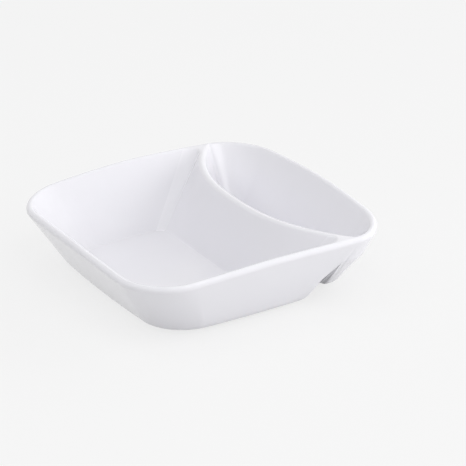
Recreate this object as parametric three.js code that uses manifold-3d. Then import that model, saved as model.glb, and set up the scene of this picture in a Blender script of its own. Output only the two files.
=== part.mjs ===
import * as THREE from 'three';
import Module from 'manifold-3d';

// Divided olive dish, millimetres, +Z up, origin under the middle of the dish.
// X runs across the two wells, Y runs along the divider.

// Overall size
const LENGTH = 335;
const WIDTH = 291;
const HEIGHT = 74;

// Rim: a rounded rectangle with bowed sides whose corners sit a little low
const LIP_RADIUS = 4;
const SIDE_BOW_X = 6.5;
const SIDE_BOW_Y = 7.5;
const CORNER_SETBACK_X = 48;
const CORNER_SETBACK_Y = 55;
const CORNER_DIP = 5.8;
const CORNER_DIP_POWER = 1.5;
const RIM_BAND = 10;
const RIM_REACH = 18;

// Divider crest: bowed towards the main well, flaring into the rim at both ends.
// Its places across the dish are measured from the rim of the side well.
const CREST_MID_FROM_RIM = 102.5;
const CREST_END_FROM_RIM = 53;
const CREST_POWER = 2.55;
const CREST_DROP = 1.2;
const CREST_DROP_POWER = 4;
const CREST_RADIUS = 5;
const CREST_STRAIGHT = 4;

// Flat webs where the divider meets the rim: how far the wells' corners stand back from the junction
const MAIN_WEB_RIM = 30;
const MAIN_WEB_CREST = 24;
const SIDE_WEB_RIM = 3;
const SIDE_WEB_CREST = 8;

// Groove open underneath the divider, running out through both long walls
const GROOVE_ROOF = 8;
const GROOVE_RADIUS = 3;
const GROOVE_END_OFFSET = 12.5;
const GROOVE_END_DROP = 29;
const GROOVE_FILLET = 8;
const GROOVE_END_RUN = 40;
const GROOVE_EASE = 75;

// Walls and floors shared by both wells
const WALL_RUN = 48;
const FLOOR_THICKNESS = 4.5;
const FLOOR_FILLET = 2;
const BASE_FILLET = 20;
const FOOT_HEIGHT = 1.5;
const FOOT_WIDTH = 4;

// Main well
const MAIN_DIVIDER_RUN = 30.5;
const MAIN_BASE_STEP = 1;
const MAIN_FLOOR_BOW = 4;
const MAIN_FLOOR_CORNER = 34;
const MAIN_INNER_CORNER = 7;
const MAIN_FOOT_INSET = 7;

// Side well
const SIDE_DIVIDER_RUN = 29.5;
const SIDE_END_RUN = 68;
const SIDE_TIP_OFFSET = 8.5;
const SIDE_FLOOR_BOW = 5;
const SIDE_FLOOR_CORNER = 4;
const SIDE_FOOT_INSET = 3;

// How far the divider's own region reaches out over the two floors and along the side well's end walls
const DIVIDER_TOE = 1.5;
const DIVIDER_WING = 14;

// Facet counts
const INNER_LIP_STEPS = 4;
const LIP_CROWN_STEPS = 4;
const LIP_UNDER_STEPS = 2;
const WALL_STEPS = 3;
const FILLET_STEPS = 4;
const CORNER_STEPS = 6;
const LONG_STEPS = 12;
const END_STEPS = 14;
const CREST_STEPS = 22;
const SHORT_STEPS = 2;
const LEAD_STEPS = 3;

// Handle length that makes a cubic curve follow a quarter circle
const ROUND_HANDLE = 0.5523;

const GLAZE = { color: 0xefeef4, roughness: 0.16, metalness: 0 };

const rimHalfX = WIDTH / 2 - LIP_RADIUS;
const rimHalfY = LENGTH / 2 - LIP_RADIUS;
const cornerX = rimHalfX - SIDE_BOW_X;
const cornerY = rimHalfY - SIDE_BOW_Y;
const baseZ = FOOT_HEIGHT;
const floorZ = FOOT_HEIGHT + FLOOR_THICKNESS;
const floorHalfX = WIDTH / 2 - WALL_RUN;
const floorHalfY = LENGTH / 2 - WALL_RUN;
const crestMidX = WIDTH / 2 - CREST_MID_FROM_RIM;
const crestEndX = WIDTH / 2 - CREST_END_FROM_RIM;
const grooveEndX = crestEndX - GROOVE_END_OFFSET;
const grooveEndZ = HEIGHT - GROOVE_END_DROP;
const mainFloorX = crestMidX - MAIN_DIVIDER_RUN;
const mainBaseMidX = mainFloorX + MAIN_BASE_STEP;
const mainBaseEndX = grooveEndX - GROOVE_END_RUN;
const sideFloorMidX = crestMidX + SIDE_DIVIDER_RUN;
const sideFloorEndX = crestEndX - SIDE_TIP_OFFSET;
const sideFloorHalfY = LENGTH / 2 - SIDE_END_RUN;
const OUTER_LIP_STEPS = LIP_CROWN_STEPS + LIP_UNDER_STEPS;

const lerp = THREE.MathUtils.lerp;
const v2 = (x, y) => new THREE.Vector2(x, y);

// Rim and crest heights and plan curves

const sideY = (x) => rimHalfY - SIDE_BOW_Y * (x / cornerX) ** 2;
const sideX = (y) => rimHalfX - SIDE_BOW_X * (y / cornerY) ** 2;
const rimZ = (p) => HEIGHT - CORNER_DIP * (Math.abs(p.x * p.y) / (cornerX * cornerY)) ** CORNER_DIP_POWER;
const crestEndY = sideY(crestEndX);
const crestEndZ = rimZ(v2(crestEndX, crestEndY));
const flare = (y, half, power) => Math.min(Math.abs(y) / half, 1) ** power;
const crestX = (y) => lerp(crestMidX, crestEndX, flare(y, crestEndY, CREST_POWER));
const crestZ = (y) => lerp(HEIGHT - CREST_DROP, crestEndZ, flare(y, crestEndY, CREST_DROP_POWER));

// A straight run of one coordinate with the other given by a curve
function edgeAlongX(fromX, toX, curve) {
  return (t) => {
    const x = lerp(fromX, toX, t);
    return v2(x, curve(x));
  };
}

function edgeAlongY(fromY, toY, curve) {
  return (t) => {
    const y = lerp(fromY, toY, t);
    return v2(curve(y), y);
  };
}

function tangentAt(edge, t) {
  const step = 1e-4;
  const ahead = edge(Math.min(t + step, 1));
  return ahead.sub(edge(Math.max(t - step, 0))).normalize();
}

const leftOf = (d) => v2(-d.y, d.x);

// The columns round one corner: a smooth turn between two set-back points,
// or a fan about the corner itself where there is no setback
function cornerColumns(before, tBefore, after, tAfter, steps) {
  const start = before(tBefore);
  const end = after(tAfter);
  const dirIn = tangentAt(before, tBefore);
  const dirOut = tangentAt(after, tAfter);
  const turn = Math.atan2(dirIn.cross(dirOut), dirIn.dot(dirOut));
  const span = start.distanceTo(end);
  const columns = [];
  for (let i = 0; i <= steps; i += 1) {
    const t = i / steps;
    if (span < 1e-6) {
      const angle = Math.atan2(dirIn.y, dirIn.x) + turn * t;
      columns.push({ p: start.clone(), m: v2(-Math.sin(angle), Math.cos(angle)), turn: t });
      continue;
    }
    const corner = before(1);
    const a = start.clone().lerp(corner, ROUND_HANDLE);
    const b = end.clone().lerp(corner, ROUND_HANDLE);
    const curve = new THREE.CubicBezierCurve(start, a, b, end);
    columns.push({ p: curve.getPoint(t), m: leftOf(curve.getTangent(t)), turn: t });
  }
  return columns;
}

// The shares of one edge at which columns stand, closer together over a lead at either end
function edgeShares(count, [leadIn, leadOut]) {
  const shares = [];
  const add = (from, to, steps, lead) => {
    for (let i = 0; i < steps; i += 1) {
      shares.push({ share: lerp(from, to, i / steps), lead });
    }
  };
  add(0, leadIn, leadIn > 0 ? LEAD_STEPS : 0, true);
  add(leadIn, 1 - leadOut, count, false);
  add(1 - leadOut, 1, leadOut > 0 ? LEAD_STEPS : 0, true);
  return shares;
}

// A closed loop of four edges with its corners turned, as columns counted the same way every time
function loopColumns(edges, setbacks, counts, leads) {
  const lengths = edges.map((edge) => edge(0).distanceTo(edge(1)));
  const starts = edges.map((edge, e) => setbacks[e][1] / lengths[e]);
  const ends = edges.map((edge, e) => 1 - setbacks[(e + 1) % 4][0] / lengths[e]);
  const columns = [];
  edges.forEach((edge, e) => {
    const next = (e + 1) % 4;
    edgeShares(counts[e], leads[e]).forEach(({ share, lead }) => {
      const t = lerp(starts[e], ends[e], share);
      columns.push({ p: edge(t), m: leftOf(tangentAt(edge, t)), edge: e, corner: null, lead });
    });
    const turned = cornerColumns(edge, ends[e], edges[next], starts[next], CORNER_STEPS);
    turned.slice(0, -1).forEach((column) => {
      columns.push({ ...column, edge: e, corner: next, lead: false });
    });
  });
  return columns;
}

// Sections: lists of (u, z), u measured inwards from the ridge

function arc(centre, radius, from, to, steps) {
  const points = [];
  for (let i = 0; i <= steps; i += 1) {
    const angle = lerp(from, to, i / steps);
    points.push([centre[0] + radius * Math.cos(angle), centre[1] + radius * Math.sin(angle)]);
  }
  return points;
}

function straight(from, to, steps) {
  const points = [];
  for (let i = 1; i <= steps; i += 1) {
    points.push([lerp(from[0], to[0], i / steps), lerp(from[1], to[1], i / steps)]);
  }
  return points;
}

// From a rounded top, down a straight wall and out on to a flat below
function innerSection(run, top, topRadius, bottom, fillet, topSteps, wallSteps) {
  const upper = [0, top - topRadius];
  const lower = [run, bottom + fillet];
  const dx = lower[0] - upper[0];
  const dz = lower[1] - upper[1];
  const angle = Math.atan2(dz, dx) + Math.acos((topRadius + fillet) / Math.hypot(dx, dz));
  const round = arc(upper, topRadius, Math.PI / 2, angle, topSteps);
  const sweep = arc(lower, -fillet, angle, Math.PI / 2, FILLET_STEPS);
  return [...round, ...straight(round[topSteps], sweep[0], wallSteps), ...sweep.slice(1)];
}

// From the lip, over its outer half, down the outside wall and under on to the base
function outerSection(run, top, bottom, fillet, level) {
  const upper = [0, top - LIP_RADIUS];
  const lower = [run, bottom + fillet];
  const dx = lower[0] - upper[0];
  const dz = lower[1] - upper[1];
  const lean = Math.acos((LIP_RADIUS - fillet) / Math.hypot(dx, dz));
  const angle = Math.atan2(dz, dx) - lean + 2 * Math.PI;
  const crown = arc(upper, LIP_RADIUS, Math.PI / 2, Math.PI, LIP_CROWN_STEPS);
  const under = arc(upper, LIP_RADIUS, Math.PI, angle, LIP_UNDER_STEPS);
  const sweep = arc(lower, fillet, angle, 1.5 * Math.PI, FILLET_STEPS);
  const lipEnd = under[LIP_UNDER_STEPS];
  const share = (lipEnd[1] - level) / (lipEnd[1] - sweep[0][1]);
  const split = [lerp(lipEnd[0], sweep[0][0], share), level];
  const wall = [...straight(lipEnd, split, 1), ...straight(split, sweep[0], WALL_STEPS - 1)];
  return [...crown, ...under.slice(1), ...wall, ...sweep.slice(1)];
}

// From a level on an outside wall straight down and under on to the base
function tuckSection(run, top, bottom, fillet) {
  const lower = [run, bottom + fillet];
  const dz = lower[1] - top;
  const angle = Math.atan2(dz, run) - Math.acos(-fillet / Math.hypot(run, dz)) + 2 * Math.PI;
  const sweep = arc(lower, fillet, angle, 1.5 * Math.PI, FILLET_STEPS);
  return [[0, top], ...straight([0, top], sweep[0], WALL_STEPS - 1), ...sweep.slice(1)];
}

// Places a section on a column, leaning sideways along the wall to reach its foot
function place(section, ridge, inward, foot, fixedSteps) {
  const along = v2(inward.y, -inward.x);
  const reach = foot.clone().sub(ridge);
  const run = reach.dot(inward);
  const shift = reach.dot(along);
  const from = section[fixedSteps][0];
  return section.map(([u, z], k) => {
    const share = k <= fixedSteps ? 0 : (u - from) / (run - from);
    const p = ridge.clone().addScaledVector(inward, u).addScaledVector(along, shift * share);
    return new THREE.Vector3(p.x, p.y, z);
  });
}

// A closed triangle skin with shared corners

class Skin {
  constructor() {
    this.index = new Map();
    this.points = [];
    this.triangles = [];
  }

  vertex(p) {
    const key = [p.x, p.y, p.z].map((c) => Math.round(c * 1e4)).join(',');
    if (!this.index.has(key)) {
      this.index.set(key, this.points.length / 3);
      this.points.push(p.x, p.y, p.z);
    }
    return this.index.get(key);
  }

  triangle(a, b, c) {
    const [i, j, k] = [this.vertex(a), this.vertex(b), this.vertex(c)];
    if (i !== j && j !== k && k !== i) {
      this.triangles.push(i, j, k);
    }
  }

  quad(a, b, c, d) {
    this.triangle(a, b, c);
    this.triangle(a, c, d);
  }

  solid(kit) {
    const mesh = new kit.Mesh({
      numProp: 3,
      vertProperties: new Float32Array(this.points),
      triVerts: new Uint32Array(this.triangles),
    });
    return new kit.Manifold(mesh);
  }
}

// Wells: ridge and floor loops inside, outside and base loops below, with matching columns

const mainRidgeEdges = [
  edgeAlongX(-cornerX, crestEndX, (x) => -sideY(x)),
  edgeAlongY(-crestEndY, crestEndY, crestX),
  edgeAlongX(crestEndX, -cornerX, sideY),
  edgeAlongY(cornerY, -cornerY, (y) => -sideX(y)),
];
const sideRidgeEdges = [
  edgeAlongX(crestEndX, cornerX, (x) => -sideY(x)),
  edgeAlongY(-cornerY, cornerY, sideX),
  edgeAlongX(cornerX, crestEndX, sideY),
  edgeAlongY(crestEndY, -crestEndY, crestX),
];
const NONE = [0, 0];
const mainRimCorner = [CORNER_SETBACK_X, CORNER_SETBACK_Y];
const sideRimCorner = [cornerX - crestEndX - CREST_STRAIGHT, CORNER_SETBACK_Y];
const turned = ([before, after]) => [after, before];
const mainWeb = [MAIN_WEB_RIM, MAIN_WEB_CREST];
const sideWeb = [SIDE_WEB_RIM, SIDE_WEB_CREST];
const mainInnerSetbacks = [turned(mainRimCorner), mainWeb, turned(mainWeb), mainRimCorner];
const mainOuterSetbacks = [turned(mainRimCorner), NONE, NONE, mainRimCorner];
const sideInnerSetbacks = [turned(sideWeb), sideRimCorner, turned(sideRimCorner), sideWeb];
const sideOuterSetbacks = [NONE, sideRimCorner, turned(sideRimCorner), NONE];

// Leads: the part of an edge that borders a web, as a share of the edge between its corners
const leadShare = (edge, setback, lead) => lead / (edge(0).distanceTo(edge(1)) - setback);
const mainLead = leadShare(mainRidgeEdges[0], mainRimCorner[0], MAIN_WEB_RIM);
const sideLead = leadShare(sideRidgeEdges[0], sideRimCorner[0], SIDE_WEB_RIM);
const crestLead = leadShare(sideRidgeEdges[3], 2 * SIDE_WEB_CREST, MAIN_WEB_CREST - SIDE_WEB_CREST);
const plainLeads = [NONE, NONE, NONE, NONE];
const mainOuterLeads = [[0, mainLead], NONE, [mainLead, 0], NONE];
const sideInnerLeads = [NONE, NONE, NONE, [crestLead, crestLead]];
const sideOuterLeads = [[sideLead, 0], NONE, [0, sideLead], NONE];

function mainFloorEdges(crestEdge, endX) {
  const outX = -floorHalfX + MAIN_FLOOR_BOW;
  const outY = floorHalfY - MAIN_FLOOR_BOW;
  const long = (x) => floorHalfY - MAIN_FLOOR_BOW * (Math.min(x, 0) / outX) ** 2;
  return [
    edgeAlongX(outX, endX, (x) => -long(x)),
    edgeAlongY(-floorHalfY, floorHalfY, crestEdge),
    edgeAlongX(endX, outX, long),
    edgeAlongY(outY, -outY, (y) => -floorHalfX + MAIN_FLOOR_BOW * (y / outY) ** 2),
  ];
}

function mainFloorSetbacks(inner) {
  const outer = [MAIN_FLOOR_CORNER, MAIN_FLOOR_CORNER];
  return [outer, [inner, inner], [inner, inner], outer];
}

function sideFloorEdges(midX, endX) {
  const half = sideFloorHalfY;
  const farX = floorHalfX - SIDE_FLOOR_BOW;
  return [
    edgeAlongX(endX, farX, () => -half),
    edgeAlongY(-half, half, (y) => floorHalfX - SIDE_FLOOR_BOW * (y / half) ** 2),
    edgeAlongX(farX, endX, () => half),
    edgeAlongY(half, -half, (y) => lerp(midX, endX, flare(y, half, CREST_POWER))),
  ];
}

const tip = [SIDE_FLOOR_CORNER, SIDE_FLOOR_CORNER];
const sideFloorSetbacks = [tip, tip, tip, tip];
const mainCounts = [LONG_STEPS, CREST_STEPS, LONG_STEPS, END_STEPS];
const sideCounts = [SHORT_STEPS, END_STEPS, SHORT_STEPS, CREST_STEPS];

const mainFlare = (y) => lerp(mainBaseMidX, mainBaseEndX, flare(y, floorHalfY, CREST_POWER));
const mainFloor = mainFloorEdges(() => mainFloorX, mainFloorX);
const mainBase = mainFloorEdges(mainFlare, mainBaseEndX);
const mainBaseSetbacks = mainFloorSetbacks(MAIN_INNER_CORNER);
const sideFloor = sideFloorEdges(sideFloorMidX, sideFloorEndX);
const mainWell = {
  ridge: loopColumns(mainRidgeEdges, mainInnerSetbacks, mainCounts, plainLeads),
  floor: loopColumns(mainFloor, mainBaseSetbacks, mainCounts, plainLeads),
  outside: loopColumns(mainRidgeEdges, mainOuterSetbacks, mainCounts, mainOuterLeads),
  base: loopColumns(mainBase, mainBaseSetbacks, mainCounts, mainOuterLeads),
  crestEdge: 1,
};
const sideWell = {
  ridge: loopColumns(sideRidgeEdges, sideInnerSetbacks, sideCounts, sideInnerLeads),
  floor: loopColumns(sideFloor, sideFloorSetbacks, sideCounts, sideInnerLeads),
  outside: loopColumns(sideRidgeEdges, sideOuterSetbacks, sideCounts, sideOuterLeads),
  base: loopColumns(sideFloor, sideFloorSetbacks, sideCounts, sideOuterLeads),
  crestEdge: 3,
};

// The outside of the long wall where the divider runs out: over the lip and down to the groove mouth
function runOut(side) {
  const end = v2(crestEndX, side * crestEndY);
  const inward = leftOf(side > 0 ? tangentAt(sideRidgeEdges[2], 1) : tangentAt(sideRidgeEdges[0], 0));
  const along = v2(inward.y, -inward.x);
  const section = outerSection(crestEndY - floorHalfY, crestEndZ, baseZ, BASE_FILLET, grooveEndZ);
  return section.slice(0, OUTER_LIP_STEPS + 2).map(([u, z], k) => {
    const lean = k > OUTER_LIP_STEPS ? -GROOVE_END_OFFSET * along.x : 0;
    const p = end.clone().addScaledVector(inward, u).addScaledVector(along, lean);
    return new THREE.Vector3(p.x, p.y, z);
  });
}

const runOuts = { near: runOut(-1), far: runOut(1) };
const mouthX = runOuts.far[OUTER_LIP_STEPS + 1].x;
const mouthY = runOuts.far[OUTER_LIP_STEPS + 1].y;

// The roof line of the groove above one position along the divider
function grooveRoof(y) {
  const bend = flare(y, mouthY, CREST_POWER);
  const top = HEIGHT - CREST_DROP - GROOVE_ROOF;
  return {
    p: v2(lerp(crestMidX, mouthX, bend), y),
    z: lerp(top, grooveEndZ, bend),
    radius: GROOVE_RADIUS * (1 - flare(y, mouthY, CREST_DROP_POWER)),
  };
}

// How far a column has turned from the rim to the crest
function crestShare(well, column) {
  if (column.corner === null) {
    return column.edge === well.crestEdge ? 1 : 0;
  }
  if (column.corner === well.crestEdge) {
    return column.turn;
  }
  return column.edge === well.crestEdge ? 1 - column.turn : 0;
}

const atJunction = (well, column) => {
  return column.corner !== null && (column.corner === well.crestEdge || column.edge === well.crestEdge);
};

const innerTop = (well, column) => {
  return lerp(rimZ(column.p), crestZ(column.p.y), crestShare(well, column));
};

function innerColumn(well, i) {
  const column = well.ridge[i];
  const foot = well.floor[i].p;
  const top = innerTop(well, column);
  const radius = lerp(LIP_RADIUS, CREST_RADIUS, crestShare(well, column));
  const run = foot.clone().sub(column.p).dot(column.m);
  const section = innerSection(run, top, radius, floorZ, FLOOR_FILLET, INNER_LIP_STEPS, WALL_STEPS);
  return place(section, column.p, column.m, foot, INNER_LIP_STEPS);
}

function rimOuterColumn(well, i) {
  const column = well.outside[i];
  const foot = well.base[i].p;
  const run = foot.clone().sub(column.p).dot(column.m);
  const section = outerSection(run, rimZ(column.p), baseZ, BASE_FILLET, grooveEndZ);
  return place(section, column.p, column.m, foot, OUTER_LIP_STEPS);
}

// Beside the run-out the side well's outer wall eases from the run-out's slope to its own
function easedColumn(well, i, share) {
  const { p, m } = well.outside[i];
  const foot = well.base[i].p;
  const along = v2(m.y, -m.x);
  const own = rimOuterColumn(well, i)[OUTER_LIP_STEPS + 1];
  const ownLean = v2(own.x, own.y).sub(p).dot(along);
  const mouthLean = -GROOVE_END_OFFSET * along.x;
  const run = lerp(foot.clone().sub(p).dot(m), crestEndY - floorHalfY, share);
  const section = outerSection(run, rimZ(p), baseZ, BASE_FILLET, grooveEndZ);
  const points = section.slice(0, OUTER_LIP_STEPS + 2).map(([u, z], k) => {
    const lean = k > OUTER_LIP_STEPS ? lerp(ownLean, mouthLean, share) : 0;
    const q = p.clone().addScaledVector(m, u).addScaledVector(along, lean);
    return new THREE.Vector3(q.x, q.y, z);
  });
  return [...points, ...tuckedTail(points[OUTER_LIP_STEPS + 1], foot)];
}

// The rest of an outside wall, from a point at the groove's level down and under on to the base
function tuckedTail(point, foot) {
  const from = v2(point.x, point.y);
  const reach = foot.clone().sub(from);
  const section = tuckSection(reach.length(), point.z, baseZ, BASE_FILLET);
  return place(section, from, reach.clone().normalize(), foot, 0).slice(1);
}

function grooveColumn(roof, foot, fillet) {
  const reach = foot.clone().sub(roof.p);
  const inward = reach.clone().normalize();
  const section = innerSection(
    reach.length(), roof.z, roof.radius, baseZ, fillet, OUTER_LIP_STEPS + 1, WALL_STEPS - 1,
  );
  return place(section, roof.p, inward, foot, OUTER_LIP_STEPS + 1);
}

// The underside of one column, seen from its rim half or from its crest half
function outerColumn(well, i, asCrest) {
  const column = well.outside[i];
  const share = crestShare(well, column);
  const foot = well.base[i].p;
  if (atJunction(well, column)) {
    const chain = column.p.y > 0 ? runOuts.far : runOuts.near;
    const mouth = chain[OUTER_LIP_STEPS + 1];
    const start = grooveColumn({ p: v2(mouth.x, mouth.y), z: mouth.z, radius: 0 }, foot, GROOVE_FILLET);
    const tail = share > 0.5 ? start.slice(OUTER_LIP_STEPS + 2) : tuckedTail(mouth, foot);
    return [...(asCrest ? start.slice(0, OUTER_LIP_STEPS + 2) : chain), ...tail];
  }
  if (share === 0) {
    const beside = Math.hypot(column.p.x - crestEndX, Math.abs(column.p.y) - crestEndY);
    const ease = well === sideWell ? 1 - THREE.MathUtils.smoothstep(beside, 0, GROOVE_EASE) : 0;
    return ease > 0 ? easedColumn(well, i, ease) : rimOuterColumn(well, i);
  }
  const y = lerp(-mouthY, mouthY, (column.p.y + crestEndY) / (2 * crestEndY));
  return grooveColumn(grooveRoof(y), foot, GROOVE_FILLET);
}

function cap(skin, ring, upwards) {
  const centre = new THREE.Vector3();
  ring.forEach((p) => centre.addScaledVector(p, 1 / ring.length));
  ring.forEach((p, i) => {
    const q = ring[(i + 1) % ring.length];
    skin.triangle(centre, upwards ? p : q, upwards ? q : p);
  });
}

function addInside(skin, well) {
  const columns = well.ridge.map((column, i) => innerColumn(well, i));
  columns.forEach((here, i) => {
    const there = columns[(i + 1) % columns.length];
    for (let k = 0; k + 1 < here.length; k += 1) {
      skin.quad(here[k], there[k], there[k + 1], here[k + 1]);
    }
  });
  cap(skin, columns.map((column) => column[column.length - 1]), true);
}

function addOutside(skin, well) {
  const baseRing = well.outside.map((column, i) => {
    const j = (i + 1) % well.outside.length;
    const asCrest = crestShare(well, column) + crestShare(well, well.outside[j]) > 1;
    const here = outerColumn(well, i, asCrest);
    const there = outerColumn(well, j, asCrest);
    for (let k = 0; k + 1 < here.length; k += 1) {
      skin.quad(here[k], here[k + 1], there[k + 1], there[k]);
    }
    return here[here.length - 1];
  });
  cap(skin, baseRing, false);
}

// The webs at the two ends of the divider, flat tops between both wells' corners and the rim
function addWebs(skin) {
  const lifted = (columns, height) => columns.map((column) => {
    return new THREE.Vector3(column.p.x, column.p.y, height(column));
  });
  const onRim = (well, pick) => lifted(well.outside.filter(pick), ({ p }) => rimZ(p));
  const onWell = (well, pick) => {
    return lifted(well.ridge.filter(pick), (column) => innerTop(well, column)).reverse();
  };
  const afterMain = mainWell.ridge.find(({ edge, corner }) => edge === 2 && corner === null);
  const outline = [
    ...onRim(mainWell, ({ edge, lead }) => edge === 2 && lead),
    ...lifted([afterMain], ({ p }) => rimZ(p)),
    ...onWell(mainWell, ({ corner }) => corner === 2),
    ...onWell(sideWell, ({ p, lead }) => lead && p.y > 0),
    ...onWell(sideWell, ({ corner }) => corner === 3),
    ...onRim(sideWell, ({ edge, lead }) => edge === 2 && lead).slice(1),
  ];
  const flat = outline.map((p) => v2(p.x, p.y));
  const mirrored = (p) => new THREE.Vector3(p.x, -p.y, p.z);
  THREE.ShapeUtils.triangulateShape(flat, []).forEach(([a, b, c]) => {
    skin.triangle(outline[a], outline[b], outline[c]);
    skin.triangle(mirrored(outline[c]), mirrored(outline[b]), mirrored(outline[a]));
  });
}

// Solids that cut the moulding into its named regions

function rimCutter(kit) {
  const onRim = (well, column) => crestShare(well, column) === 0 && !atJunction(well, column);
  const rimOnly = (well) => well.outside.filter((column) => onRim(well, column));
  const bearing = ({ p }) => Math.atan2(p.y, p.x);
  const columns = [...rimOnly(mainWell), ...rimOnly(sideWell)].sort((a, b) => bearing(a) - bearing(b));
  const rings = columns.map(({ p, m }) => {
    const z = rimZ(p);
    const out = p.clone().addScaledVector(m, -RIM_REACH);
    const inn = p.clone().addScaledVector(m, RIM_REACH);
    return [
      new THREE.Vector3(out.x, out.y, z - RIM_BAND),
      new THREE.Vector3(inn.x, inn.y, z - RIM_BAND),
      new THREE.Vector3(inn.x, inn.y, z + RIM_BAND),
      new THREE.Vector3(out.x, out.y, z + RIM_BAND),
    ];
  });
  return closedSweep(rings).solid(kit);
}

// A closed band swept through a list of four-cornered rings
function closedSweep(rings) {
  const skin = new Skin();
  rings.forEach((ring, i) => {
    const next = rings[(i + 1) % rings.length];
    ring.forEach((p, k) => {
      const l = (k + 1) % ring.length;
      skin.quad(p, ring[l], next[l], next[k]);
    });
  });
  return skin;
}

function dividerCutter(kit) {
  const outside = LENGTH / 2 + RIM_REACH;
  const outline = [v2(crestEndX - LIP_RADIUS, -outside), v2(crestEndX + DIVIDER_WING, -outside)];
  const half = sideFloorHalfY;
  for (let i = 0; i <= CREST_STEPS; i += 1) {
    const y = lerp(-half, half, i / CREST_STEPS);
    outline.push(v2(lerp(sideFloorMidX, sideFloorEndX, flare(y, half, CREST_POWER)) + DIVIDER_TOE, y));
  }
  outline.push(v2(crestEndX + DIVIDER_WING, outside), v2(crestEndX - LIP_RADIUS, outside));
  const toeX = mainFloorX - DIVIDER_TOE;
  outline.push(v2(toeX, floorHalfY), v2(toeX, -floorHalfY));
  const skin = new Skin();
  const low = -RIM_BAND;
  const high = HEIGHT + RIM_BAND;
  const lift = (p, z) => new THREE.Vector3(p.x, p.y, z);
  outline.forEach((p, i) => {
    const q = outline[(i + 1) % outline.length];
    skin.quad(lift(p, low), lift(q, low), lift(q, high), lift(p, high));
  });
  THREE.ShapeUtils.triangulateShape(outline, []).forEach(([a, b, c]) => {
    skin.triangle(lift(outline[a], high), lift(outline[b], high), lift(outline[c], high));
    skin.triangle(lift(outline[c], low), lift(outline[b], low), lift(outline[a], low));
  });
  return skin.solid(kit);
}

// Low foot rings under the two bases
function footRing(well, inset) {
  const box = new THREE.Box2().setFromPoints(well.base.map((column) => column.p));
  const centre = box.getCenter(v2(0, 0));
  const half = box.getSize(v2(0, 0)).multiplyScalar(0.5);
  const drawn = (p, by) => {
    const d = p.clone().sub(centre);
    return v2(centre.x + d.x * (1 - by / half.x), centre.y + d.y * (1 - by / half.y));
  };
  const rings = well.base.map(({ p }) => {
    const out = drawn(p, inset);
    const inn = drawn(p, inset + FOOT_WIDTH);
    return [
      new THREE.Vector3(out.x, out.y, 0),
      new THREE.Vector3(inn.x, inn.y, 0),
      new THREE.Vector3(inn.x, inn.y, FOOT_HEIGHT),
      new THREE.Vector3(out.x, out.y, FOOT_HEIGHT),
    ];
  });
  return closedSweep(rings);
}

function meshOf(name, positions, triangles) {
  const geometry = new THREE.BufferGeometry();
  geometry.setAttribute('position', new THREE.Float32BufferAttribute(positions, 3));
  geometry.setIndex(Array.from(triangles));
  geometry.computeVertexNormals();
  const mesh = new THREE.Mesh(geometry, new THREE.MeshStandardMaterial(GLAZE));
  mesh.name = name;
  return mesh;
}

function meshOfSolid(name, solid) {
  const mesh = solid.getMesh();
  return meshOf(name, mesh.vertProperties, mesh.triVerts);
}

const kit = await Module();
kit.setup();

const shell = new Skin();
[mainWell, sideWell].forEach((well) => {
  addInside(shell, well);
  addOutside(shell, well);
});
addWebs(shell);
const moulding = shell.solid(kit);
const band = rimCutter(kit);
const wall = dividerCutter(kit);
const rim = moulding.intersect(band);
const body = moulding.subtract(band);
const divider = body.intersect(wall);
const wells = body.subtract(wall).decompose();
wells.sort((a, b) => a.boundingBox().min[0] - b.boundingBox().min[0]);

const dish = new THREE.Group();
dish.name = 'divided_olive_dish';
dish.add(meshOfSolid('rim', rim));
dish.add(meshOfSolid('divider', divider));
dish.add(meshOfSolid('main_basin', wells[0]));
dish.add(meshOfSolid('side_basin', wells[1]));
const mainFoot = footRing(mainWell, MAIN_FOOT_INSET);
const sideFoot = footRing(sideWell, SIDE_FOOT_INSET);
dish.add(meshOf('main_foot_ring', mainFoot.points, mainFoot.triangles));
dish.add(meshOf('side_foot_ring', sideFoot.points, sideFoot.triangles));

export default dish;
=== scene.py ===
"""A divided olive dish: one glossy white moulding with two wells, on a pale studio floor."""

import cmath
import logging
import math
from dataclasses import dataclass, field, replace
from enum import Enum
from functools import cached_property
from typing import Any, Callable, ClassVar, Mapping, Optional, Sequence, Union

import bpy
from mathutils import Matrix, Vector
from mathutils.geometry import delaunay_2d_cdt


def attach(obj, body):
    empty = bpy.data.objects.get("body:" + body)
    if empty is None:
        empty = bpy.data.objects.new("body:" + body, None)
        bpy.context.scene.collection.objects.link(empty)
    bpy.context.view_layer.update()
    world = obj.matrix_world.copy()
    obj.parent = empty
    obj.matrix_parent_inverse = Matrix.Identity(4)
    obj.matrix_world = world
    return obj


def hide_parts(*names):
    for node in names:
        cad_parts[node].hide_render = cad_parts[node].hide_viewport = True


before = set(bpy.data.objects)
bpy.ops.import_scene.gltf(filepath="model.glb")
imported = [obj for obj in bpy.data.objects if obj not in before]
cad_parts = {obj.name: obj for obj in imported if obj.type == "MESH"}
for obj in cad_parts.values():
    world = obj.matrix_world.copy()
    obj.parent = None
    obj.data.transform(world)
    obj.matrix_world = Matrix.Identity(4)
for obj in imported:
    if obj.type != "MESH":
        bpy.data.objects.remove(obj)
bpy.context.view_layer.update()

LOG = logging.getLogger("olive_dish")
MM = 0.001

# Millimetres within which two places count as one.
TOUCHING = 1e-6

# Stations of a wall's outline: where its edge, its face and its foot start, and where the foot ends.
RIDGE, FALL, BEND, FLAT = 0.0, 1.0, 2.0, 3.0

# Sockets of a Mix node that mixes colours: its share, both colours and the result.
SHARE, FIRST, SECOND, MIXED = 0, 6, 7, 2

# A place in plan is one complex number, x across the wells and y along the divider.
Curve = Callable[[float], complex]
Pair = tuple[float, float]
Triple = tuple[float, float, float]
Number = Union[float, "Value"]
Key = Union[str, int]
Settings = Optional[Mapping[str, Any]]
Sockets = Optional[Mapping[Key, Any]]
NONE: Pair = (0.0, 0.0)
ZERO: Triple = (0.0, 0.0, 0.0)
ALL_LIP: Triple = (1.0, 0.0, 0.0)


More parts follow.
